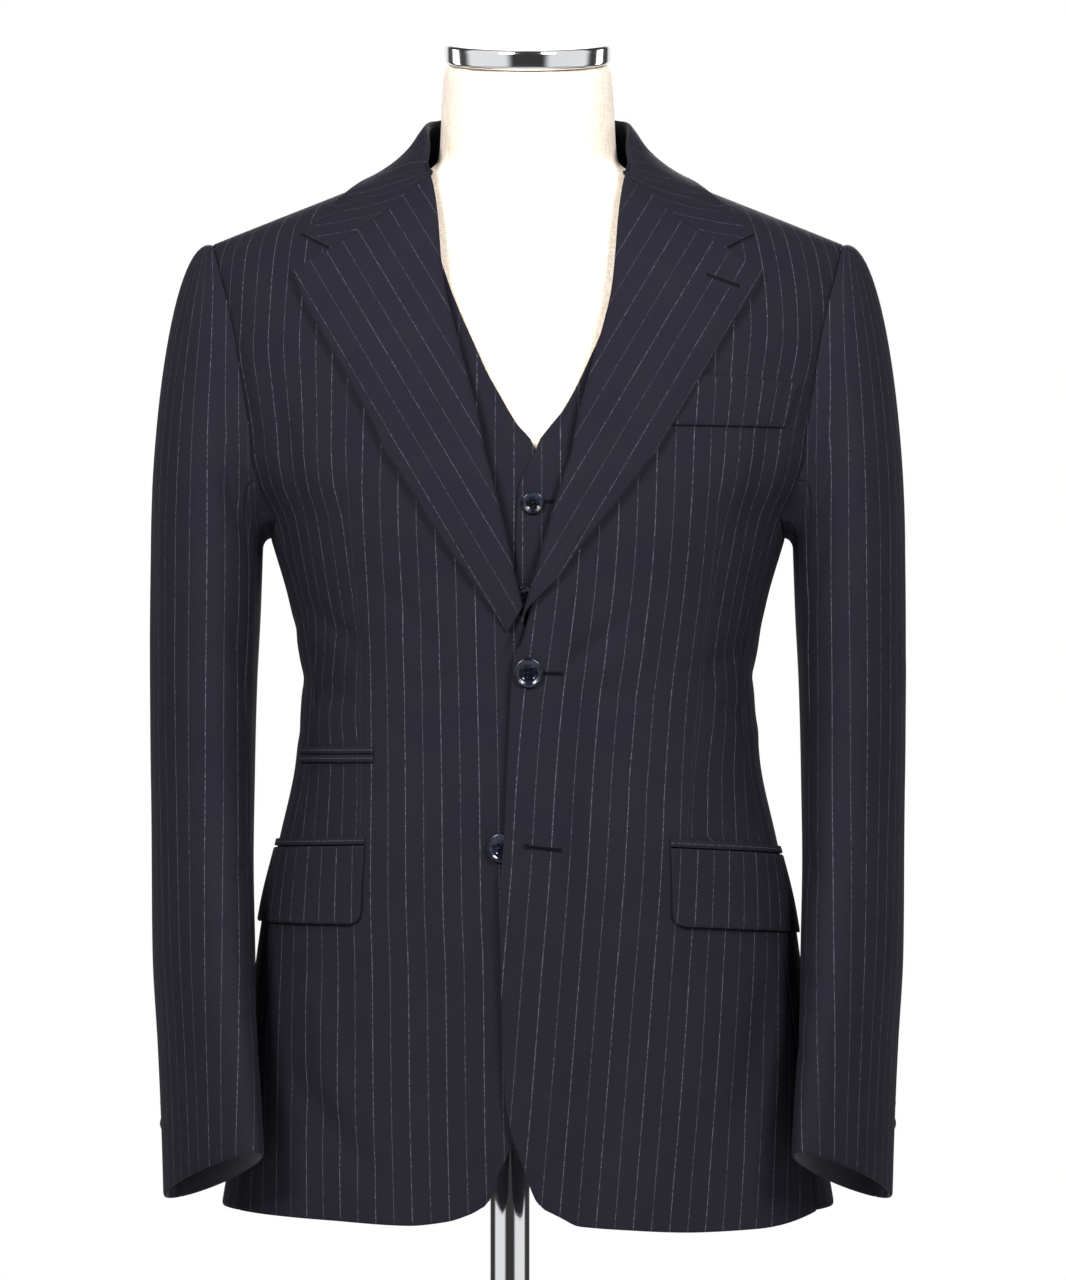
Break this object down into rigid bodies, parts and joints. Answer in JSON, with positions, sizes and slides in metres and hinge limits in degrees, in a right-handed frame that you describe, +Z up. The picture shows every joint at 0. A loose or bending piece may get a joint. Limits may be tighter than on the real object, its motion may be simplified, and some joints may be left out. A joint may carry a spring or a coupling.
{
  "type": "three-piece suit jacket and waistcoat on dress form",
  "caption": "Pinstriped suit jacket buttoned over its waistcoat, worn by a limbless dress form on a pole and round base.",
  "frame": {"origin": "centre of the whole object's box, on the floor under the base", "axes": "+Z up; +X towards the wearer's left; the suit faces -Y"},
  "size_m": [0.5266, 0.38, 1.5574],
  "materials": {
    "worsted": "matte",
    "worsted_trim": "matte",
    "button_horn": "polished",
    "linen": "matte",
    "chrome": "polished"
  },
  "bodies": {
    "root": {"jacket_front_left": "worsted", "jacket_front_right": "worsted", "jacket_side_left": "worsted", "jacket_side_right": "worsted", "jacket_back_left": "worsted", "jacket_back_right": "worsted", "lapel_left": "worsted", "lapel_right": "worsted", "jacket_collar": "worsted", "sleeve_top_left": "worsted", "sleeve_top_right": "worsted", "sleeve_under_left": "worsted", "sleeve_under_right": "worsted", "waistcoat_front_left": "worsted", "waistcoat_front_right": "worsted", "waistcoat_back": "worsted", "hip_flap_right": "worsted_trim", "hip_flap_left": "worsted_trim", "hip_jet_right": "worsted_trim", "hip_jet_left": "worsted_trim", "ticket_jet_upper": "worsted_trim", "ticket_jet_lower": "worsted_trim", "breast_welt": "worsted_trim", "jacket_button_upper": "button_horn", "jacket_button_lower": "button_horn", "cuff_button_left_1": "button_horn", "cuff_button_left_2": "button_horn", "cuff_button_left_3": "button_horn", "cuff_button_left_4": "button_horn", "cuff_button_right_1": "button_horn", "cuff_button_right_2": "button_horn", "cuff_button_right_3": "button_horn", "cuff_button_right_4": "button_horn", "waistcoat_button_1": "button_horn", "waistcoat_button_2": "button_horn", "waistcoat_button_3": "button_horn", "waistcoat_button_4": "button_horn", "waistcoat_button_5": "button_horn", "form_torso": "linen", "form_neck_cap": "chrome", "stand_socket": "chrome", "stand_pole": "chrome", "stand_base": "chrome"}
  },
  "joints": []
}
